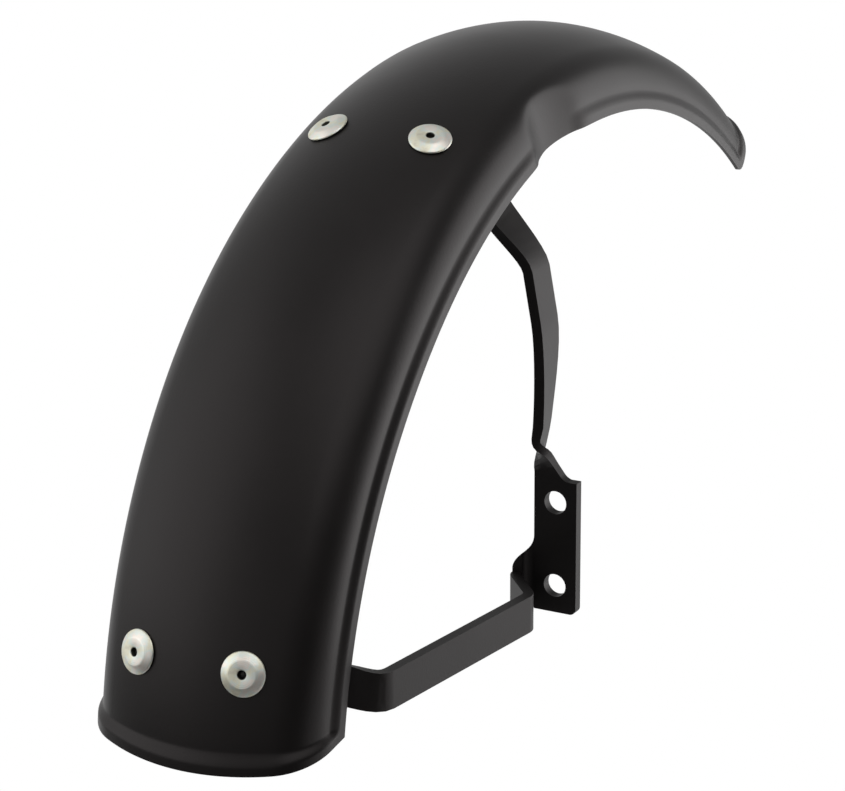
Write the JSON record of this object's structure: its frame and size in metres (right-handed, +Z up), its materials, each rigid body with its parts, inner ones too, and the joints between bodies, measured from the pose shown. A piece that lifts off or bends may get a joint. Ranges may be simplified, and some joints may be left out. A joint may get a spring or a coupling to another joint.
{
  "type": "scooter mudguard",
  "caption": "Curved pressed-steel scooter mudguard with a joggled rim, fork recesses and formed flat-bar stays fixed by blind rivets; it bolts to the fork and stops wheel spray.",
  "frame": {"origin": "centre of the bolt pattern, on the front faces of the stay plates", "axes": "+X forward, towards the guard's tip and square to the plates; +Y to the rider's left; +Z up"},
  "size_m": [0.3999, 0.1494, 0.2174],
  "materials": {
    "guard_paint": "satin black paint",
    "stay_paint": "satin black paint",
    "rivet_zinc": "bright zinc plate",
    "mandrel_steel": "broken bare steel"
  },
  "bodies": {
    "root": {"guard": "guard_paint", "right_stay": "stay_paint", "left_stay": "stay_paint", "rivets": "rivet_zinc", "rivet_mandrels": "mandrel_steel"}
  },
  "joints": []
}
